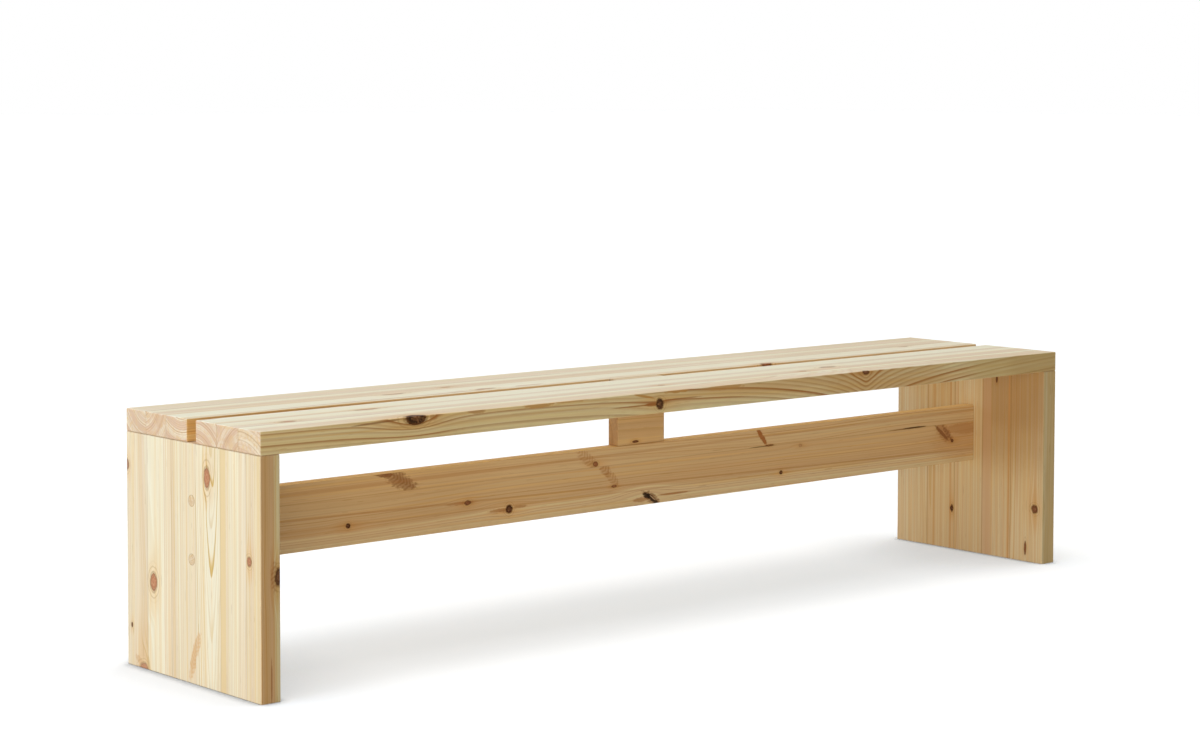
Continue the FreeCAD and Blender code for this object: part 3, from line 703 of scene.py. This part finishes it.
SEAT_GRAIN = {
    "seat_front_stave_1": grain(0.030, -0.090, lean=0.003, ring=0.0078, contrast=0.28, gold=0.4,
                                blush=0.2, late=EDGE_LATEWOOD, edge_contrast=0.5),
    "seat_front_stave_2": seat_grain(-0.060, -0.050, lean=0.006, stripe=0.3),
    "seat_front_stave_3": seat_grain(0.030, -0.060, lean=-0.005, stripe=0.15),
    "seat_rear_stave_1": seat_grain(-0.015, 0.070, lean=0.005, stripe=0.15),
    "seat_rear_stave_2": seat_grain(0.055, 0.045, lean=-0.006, stripe=0.3),
    "seat_rear_stave_3": seat_grain(-0.040, 0.060, lean=0.004, stripe=0.2),
}
LEG_GRAIN = {
    "left_leg_stave_1": left_grain(0.045, -0.040, lean=0.004, ring=0.0028, heart=0.083, gold=0.6,
                                   stripe=0.15, warmth=0.15, edge_warmth=-0.25),
    "left_leg_stave_2": left_grain(-0.050, 0.040, lean=0.012, ring=0.0028, stripe=0.1),
    "left_leg_stave_3": grain(-0.0115, 0.0092, lean=-0.028, ring=0.0042, contrast=1.2, gold=0.3,
                              blush=0.1, stripe=0.05, late=GOLDEN_LATEWOOD),
    "left_leg_stave_4": left_grain(0.055, 0.030, lean=0.010, ring=0.0030, heart=0.060, stripe=0.2,
                                   warmth=0.3),
    "left_leg_stave_5": left_grain(0.040, 0.060, lean=0.012, gold=0.4, stripe=0.1),
    "left_leg_stave_6": left_grain(-0.050, 0.040, lean=-0.012, heart=0.075, stripe=0.15, warmth=0.3),
    "right_leg_stave_1": right_grain(0.050, -0.040, lean=0.012),
    "right_leg_stave_2": right_grain(-0.055, -0.040, lean=0.012, late=RED_LATEWOOD, gold=0.4, blush=0.2,
                                     stripe=0.25),
    "right_leg_stave_3": right_grain(0.050, -0.045, lean=0.010),
    "right_leg_stave_4": right_grain(0.030, -0.030, lean=0.015),
    "right_leg_stave_5": right_grain(-0.045, -0.040, lean=0.012, stripe=0.25),
}
RAIL_GRAIN = {
    "stretcher_lower_stave": rail_grain(0.0525, 0.050, lean=0.002, heart=0.0935, warmth=0.6),
    "stretcher_upper_stave": rail_grain(-0.0475, 0.060, lean=0.005, heart=0.2, warmth=0.5),
    "centre_post": grain(-0.050, 0.060, lean=0.030, heart=0.2, contrast=0.5, gold=0.3, stripe=0.1,
                         warmth=0.75),
}
PLUG_GRAIN = grain(0.030, 0.040, lean=0.010, contrast=0.4)
PLUG_RIM = 0.0012

# How the two long edges of a board differ from its faces: wood tones, painted warm bounce light on the
# gap walls and the stretcher, and partly painted shade on the right panel's front edge
EDGE_TINTS = {
    "seat_front_stave_1": PLAIN_EDGE_TINT,
    "seat_front_stave_3": GAP_EDGE_PAINTED_BOUNCE,
    "seat_rear_stave_1": GAP_EDGE_PAINTED_BOUNCE,
    "left_leg_stave_1": BROWN_EDGE_TINT,
    "right_leg_stave_1": OLIVE_EDGE_AND_SHADE,
    "stretcher_lower_stave": RAIL_EDGE_PAINTED_BOUNCE,
    "stretcher_upper_stave": RAIL_EDGE_PAINTED_BOUNCE,
}

# How far from a panel's outer face pale sapwood starts on its long edge, with a wavy and soft line
SAP_LINES = {"left_leg_stave_1": 0.026}
SAP_WAVE_REACH = 0.003
SAP_BLUR = 0.0006


def turned(vector, axes):
    """A row-frame vector as fibre direction, width and thickness."""
    return Vector(vector[axis] for axis in axes)


def holds(node, point, spare=TOUCH):
    """Whether a point lies in a board's box or touches it."""
    low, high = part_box(node)
    return all(low[axis] - spare < point[axis] < high[axis] + spare for axis in range(3))


def new_material(name):
    """A material with a plain surface; gives it with its node tree and its shader."""
    material = bpy.data.materials.new(name)
    material.use_nodes = True
    return material, material.node_tree, material.node_tree.nodes["Principled BSDF"]


def texture_field(tree, output):
    return Field(tree, tree.nodes.new("ShaderNodeTexCoord").outputs[output])


def board_field(tree, output, axes):
    """A texture coordinate, with its parts in a board's own order."""
    field = texture_field(tree, output)
    return combine(tree, *(field.part(axis) for axis in axes))


def finish_surface(tree, shader, colour, roughness, height, relief):
    """Links a surface's colour, roughness and relief, whose depth is in metres, to its shader."""
    bump = tree.nodes.new("ShaderNodeBump")
    bump.inputs["Strength"].default_value = BUMP_STRENGTH
    bump.inputs["Distance"].default_value = relief
    feed(tree, bump.inputs["Height"], height)
    feed(tree, shader.inputs["Base Color"], colour)
    feed(tree, shader.inputs["Roughness"], roughness)
    tree.links.new(bump.outputs[0], shader.inputs["Normal"])
    shader.inputs["Specular IOR Level"].default_value = GLOSS


def wood_values(look):
    """The values of a board's grain that the wood group takes."""
    return {name: value for name, value in look.items() if name not in NOT_IN_GROUP}


def joint_shade(tree, node):
    """The dark line where a plank or the stretcher meets a panel, or the post meets the stretcher: partly
    a dark joint, partly painted shade in the groove.
    """
    place = texture_field(tree, "Object")
    past_legs = place.part(0).math("ABSOLUTE") - LEG_INNER_RIGHT
    if node == "centre_post":
        return ((place.part(2) - RAIL_TOP) / JOINT_WIDTH).bell() * POST_JOINT
    if node.startswith("stretcher"):
        return (past_legs / JOINT_WIDTH).bell()
    under_seat = ((place.part(2) - SEAT_UNDERSIDE) / JOINT_WIDTH).bell()
    return under_seat * past_legs.step(-JOINT_FADE, 0.0)


def glued_sides(node, axes):
    """The sides, -1 or 1 along its width, on which a board meets a neighbouring stave."""
    low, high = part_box(node)
    half_width = turned(high - low, axes)[1] / 2
    sides = []
    for side in (-1, 1):
        beyond = (low + high) / 2
        beyond[axes[1]] += side * (half_width + TOUCH)
        if any("stave" in other and holds(other, beyond, 0.0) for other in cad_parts):
            sides.append(side)
    return sides


def edge_tint(tree, node, position, axes):
    """The tone of a board's long edges, on some boards painted bounce light or partly painted shade, with
    paler sapwood beyond a line on some.
    """
    tint = plain_colour(tree, EDGE_TINTS[node])
    if node in SAP_LINES:
        low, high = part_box(node)
        half_thickness = turned(high - low, axes)[2] / 2
        wave = (position.noise(SAP_WAVE) - NOISE_MIDDLE) * SAP_WAVE_REACH
        past_line = position.part(2) + wave + (half_thickness - SAP_LINES[node])
        tint = tint.mix(SAP_EDGE_TINT, past_line.step(-SAP_BLUR, SAP_BLUR))
    return tint


def pine_material(node, axes, look, seed):
    """The wood of one board, with the knots that lie in it."""
    material, tree, shader = new_material("Pine " + node)
    low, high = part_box(node)
    middle = turned((low + high) / 2, axes)
    position = board_field(tree, "Object", axes).vector("SUBTRACT", middle)
    facing = board_field(tree, "Normal", axes).vector("ABSOLUTE")
    end = facing.part(0).step(TURN_START, TURN_FULL)
    edge = facing.part(1).step(TURN_START, TURN_FULL)
    shift = position.scaled(0.0)
    bulge = position.part(0) * 0.0
    painted = []
    for branch in KNOTS:
        if holds(node, branch["point"]):
            reach, halo, own_shift, own_bulge = use_group(tree, KNOT_SHAPE, {
                "Position": position, "Place": turned(branch["point"], axes) - middle,
                "Direction": turned(branch["direction"], axes), **branch["shape"]})
            shift = shift.vector("ADD", own_shift)
            bulge = bulge + own_bulge
            painted.append({"Position": position, "Reach": reach, "Halo": halo, **branch["paint"]})
    contrast = edge * look["Edge contrast"] * (bulge * LOOP_CONTRAST + 1.0) + look["Contrast"]
    warmth = edge * look["Edge warmth"] + look["Warmth"]
    colour, roughness, height = use_group(tree, PINE, {
        **wood_values(look), "Contrast": contrast, "Warmth": warmth, "Position": position, "Shift": shift,
        "Bulge": bulge, "Seed": seed, "Late start": edge.step(0.0, 1.0, LATE_START, EDGE_LATE_START),
        "End": end})
    for streak in FEATHERS:
        if holds(node, streak["point"]):
            colour, = use_group(tree, FEATHER, {
                "Colour": colour, "Position": position, "Place": turned(streak["point"], axes) - middle,
                "Direction": turned(streak["direction"], axes), **streak["patch"],
                "Inward": turned(streak["inward"], axes), "Facing": facing})
    for values in painted:
        colour, = use_group(tree, KNOT_PAINT, {"Colour": colour, **values})
    colour = colour.mix(POST_END_TINT if node == "centre_post" else END_TINT, end, "MULTIPLY")
    # Edge tones, on some boards painted warm bounce light or partly painted shade
    if node in EDGE_TINTS:
        colour = colour.mix(edge_tint(tree, node, position, axes), edge, "MULTIPLY")
    half_width = turned(high - low, axes)[1] / 2
    for side in glued_sides(node, axes):
        line = ((position.part(1) * side - half_width) / GLUE_WIDTH).bell() - edge
        colour = colour.mix(GLUE_LINE, line * look["Glue"])
    colour = colour.mix(JOINT_SHADE, joint_shade(tree, node) * JOINT_STRENGTH)
    finish_surface(tree, shader, colour, roughness, height, PINE_RELIEF)
    return material


def plug_material(node):
    """Cross-grain pine discs, two in each end panel, each in a fine dark glue line."""
    material, tree, shader = new_material("Plug " + node)
    low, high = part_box(node)
    radius = (high.y - low.y) / 2
    half_pitch = (high.z - low.z) / 2 - radius
    position = texture_field(tree, "Object").vector("SUBTRACT", (low + high) / 2)
    upright = position.part(2).math("ABSOLUTE") - half_pitch
    from_axis = combine(tree, 0.0, position.part(1), upright).measure("LENGTH")
    colour, roughness, height = use_group(tree, PINE, {
        **wood_values(PLUG_GRAIN), "Position": position, "Seed": PLUG_SEED, "Late start": LATE_START,
        "End": 0.0})
    rim = from_axis.step(radius - PLUG_RIM, radius - PLUG_RIM / 2)
    colour = colour.mix(PLUG_TINT, 1.0, "MULTIPLY").mix(GLUE_LINE, rim * 0.6)
    finish_surface(tree, shader, colour, roughness, height, PINE_RELIEF)
    return material


def dowel_material():
    """Turned beech: even pinkish tan with short dark flecks."""
    material, tree, shader = new_material("Beech")
    position = texture_field(tree, "Object")
    fibre = position.noise(BEECH_CLOUD, 3.0)
    fleck = position.noise(BEECH_RAY, 1.0).step(0.60, 0.68)
    colour = plain_colour(tree, BEECH).mix(BEECH_DARK, fibre.step(0.35, 0.75))
    colour = colour.mix(BEECH_FLECK, fleck * 0.6)
    finish_surface(tree, shader, colour, fibre * 0.2 + 0.5, fibre, BEECH_RELIEF)
    return material


def screw_material():
    """Zinc-plated steel with faint turning marks."""
    material, tree, shader = new_material("Zinc steel")
    position = texture_field(tree, "Object")
    marks = position.noise(TURNING_MARKS, 2.0)
    cloud = position.noise(ZINC_CLOUD, 3.0)
    colour = plain_colour(tree, ZINC).mix(ZINC_DULL, cloud.step(0.35, 0.70))
    finish_surface(tree, shader, colour, marks * 0.25 + 0.22, marks, ZINC_RELIEF)
    shader.inputs["Metallic"].default_value = 1.0
    return material


def give_material(node, material):
    """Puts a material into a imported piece's only slot."""
    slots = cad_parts[node].data.materials
    slots.clear()
    slots.append(material)


def dress_boards():
    """Pine for every board, each with its own seed."""
    seed = FIRST_SEED
    for axes, boards in ((SEAT_AXES, SEAT_GRAIN), (LEG_AXES, LEG_GRAIN), (RAIL_AXES, RAIL_GRAIN)):
        for node, look in boards.items():
            give_material(node, pine_material(node, axes, look, seed))
            seed += SEED_STEP


def dress_hardware():
    """Beech for the dowels, steel for the screws and pine for the plugs."""
    beech = dowel_material()
    steel = screw_material()
    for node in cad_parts:
        if node.endswith("_dowels"):
            give_material(node, beech)
        elif node.endswith("_screws"):
            give_material(node, steel)
        elif node.endswith("_plugs"):
            give_material(node, plug_material(node))


# Light on a white surface that faces each lamp, where 1 is white: red, green and blue
OVERHEAD_LIGHT = (0.53, 0.61, 0.72)
WINDOW_LIGHT = (0.432, 0.615, 0.905)
FRONT_FILL = (0.27, 0.195, 0.103)
SIDE_FILL = (0.22, 0.19, 0.14)
ROOM_LIGHT = (0.161, 0.149, 0.143)
OVERHEAD_SPREAD = radians(42)
OVERHEAD_FROM = Vector((-0.03, -0.07, 1.0))
BACK_FILL_FROM = Vector((-0.20, 0.96, 0.22))
RIGHT_FILL_FROM = Vector((0.95, 0.20, 0.22))
FILL_SPREAD = radians(40)

# The soft panels beside and in front of the bench, in metres
WINDOW_PLACE = Vector((LOW.x - 2.2, 0.15, 0.90))
WINDOW_AIM = Vector((LOW.x, 0.0, 0.25))
WINDOW_SIZE = 1.6
FRONT_PLACE = Vector((-5.6, -5.0, 1.0))
FRONT_AIM = Vector((0.0, 0.0, 0.25))
FRONT_SIZE = 3.5

# The floor, its colour and glow as other surfaces see them, and as the camera sees them
FLOOR_SIZE = 60.0
FLOOR_BOUNCE = (0.54, 0.45, 0.31)
FLOOR_GLOW = (0.173, 0.151, 0.121)
FLOOR_SEEN = (0.60, 0.50, 0.42)
FLOOR_LIFT = (0.572, 0.648, 0.689)

# The floor's painted shade at the panels and under the bench: how far it reaches and how deep it is
CONTACT_REACH = 0.045
CONTACT_LIGHT = 0.25
NEAR_REACH = 0.30
NEAR_LIGHT = 0.72
WALL_SKY = 0.50
CONTACT_SKY = 0.75


def add_lamp(name, kind, light, place, aim):
    """A lamp at a place, turned to a point; gives its data."""
    data = bpy.data.lights.new(name, kind)
    data.color = light
    lamp = bpy.data.objects.new(name, data)
    lamp.location = place
    lamp.rotation_euler = (Vector(aim) - Vector(place)).to_track_quat("-Z", "Y").to_euler()
    lamp.visible_camera = False
    bpy.context.scene.collection.objects.link(lamp)
    return data


def add_sun(name, light, towards, spread):
    """An even light from one direction; spread is how much of the sky it fills."""
    sun = add_lamp(name, "SUN", light, towards, (0.0, 0.0, 0.0))
    sun.energy = pi
    sun.angle = spread


def add_panel(name, light, place, aim, size):
    """A soft square panel that gives its light at the point that it is turned to."""
    panel = add_lamp(name, "AREA", light, place, aim)
    panel.size = size
    panel.energy = (pi * (aim - place).length) ** 2


def set_lamps():
    """Soft light from above and from a window, and weak light from the other sides."""
    add_sun("Overhead light", OVERHEAD_LIGHT, OVERHEAD_FROM, OVERHEAD_SPREAD)
    add_sun("Back fill", SIDE_FILL, BACK_FILL_FROM, FILL_SPREAD)
    add_sun("Right fill", SIDE_FILL, RIGHT_FILL_FROM, FILL_SPREAD)
    add_panel("Window light", WINDOW_LIGHT, WINDOW_PLACE, WINDOW_AIM, WINDOW_SIZE)
    add_panel("Front fill", FRONT_FILL, FRONT_PLACE, FRONT_AIM, FRONT_SIZE)


def seen_directly(tree):
    """1 for rays that show the background: from the camera, or by way of gloss or glass."""
    path = tree.nodes.new("ShaderNodeLightPath")
    seen = Field(tree, path.outputs["Is Camera Ray"])
    for name in ("Is Glossy Ray", "Is Transmission Ray"):
        seen = seen.math("MAXIMUM", Field(tree, path.outputs[name]))
    return seen


def set_world():
    """White to look at, and a dim warm room as light."""
    world = bpy.data.worlds.new("Studio")
    world.use_nodes = True
    tree = world.node_tree
    colour = plain_colour(tree, ROOM_LIGHT).mix(WHITE, seen_directly(tree))
    feed(tree, tree.nodes["Background"].inputs["Color"], colour)
    bpy.context.scene.world = world


def floor_surface(field, colour, glow):
    """A matt surface that also glows."""
    diffuse = field.node("ShaderNodeBsdfDiffuse", {"Color": colour})
    emission = field.node("ShaderNodeEmission", {"Color": glow})
    return field.node("ShaderNodeAddShader", {0: diffuse, 1: emission})


def open_sky(field, reach):
    """The share of the sky that nothing within reach covers: a half beside a wall, and 1 in the open."""
    return field.node("ShaderNodeAmbientOcclusion", {"Distance": reach}, "AO", samples=4)


def set_floor():
    """A pale floor that looks white and keeps the bench's shadow."""
    mesh = bpy.data.meshes.new("Floor")
    ways = ((-1, -1), (1, -1), (1, 1), (-1, 1))
    corners = [(FLOOR_SIZE * across, FLOOR_SIZE * along, LOW.z) for across, along in ways]
    mesh.from_pydata(corners, [], [(0, 1, 2, 3)])
    floor = bpy.data.objects.new("Floor", mesh)
    bpy.context.scene.collection.objects.link(floor)
    material = bpy.data.materials.new("Floor")
    material.use_nodes = True
    tree = material.node_tree
    tree.nodes.clear()
    seen = seen_directly(tree)
    as_light = floor_surface(seen, FLOOR_BOUNCE, FLOOR_GLOW)
    contact = open_sky(seen, CONTACT_REACH).step(WALL_SKY, CONTACT_SKY, CONTACT_LIGHT, 1.0, "LINEAR")
    near = open_sky(seen, NEAR_REACH).step(WALL_SKY, 1.0, NEAR_LIGHT, 1.0, "LINEAR")
    lit = contact * near
    colour = plain_colour(tree, FLOOR_SEEN).scaled(lit)
    glow = plain_colour(tree, FLOOR_LIFT).scaled(lit)
    as_seen = floor_surface(seen, colour, glow)
    both = seen.node("ShaderNodeMixShader", {0: seen, 1: as_light, 2: as_seen})
    feed(tree, tree.nodes.new("ShaderNodeOutputMaterial").inputs["Surface"], both)
    mesh.materials.append(material)


def set_camera():
    """The camera that took the photograph."""
    data = bpy.data.cameras.new("Photo camera")
    data.sensor_width = SENSOR_WIDTH
    data.lens = FOCAL_PIXELS * SENSOR_WIDTH / PHOTO_WIDTH
    data.shift_x = (PHOTO_WIDTH / 2 - OPTICAL_CENTRE_X) / PHOTO_WIDTH
    data.shift_y = (OPTICAL_CENTRE_Y - PHOTO_HEIGHT / 2) / PHOTO_WIDTH
    camera = bpy.data.objects.new("Photo camera", data)
    right = Vector((cos(CAMERA_TURN), sin(CAMERA_TURN), 0.0))
    level = Vector((-sin(CAMERA_TURN), cos(CAMERA_TURN), 0.0))
    forward = level * cos(CAMERA_DIP) - Vector((0.0, 0.0, sin(CAMERA_DIP)))
    upright = Matrix((right, right.cross(forward), -forward)).transposed()
    rolled = upright @ Matrix.Rotation(-CAMERA_ROLL, 3, "Z")
    camera.matrix_world = Matrix.Translation(CAMERA_PLACE) @ rolled.to_4x4()
    bpy.context.scene.collection.objects.link(camera)
    bpy.context.scene.camera = camera


bpy.context.scene.view_settings.view_transform = "Standard"
dress_boards()
dress_hardware()
set_lamps()
set_world()
set_floor()
set_camera()
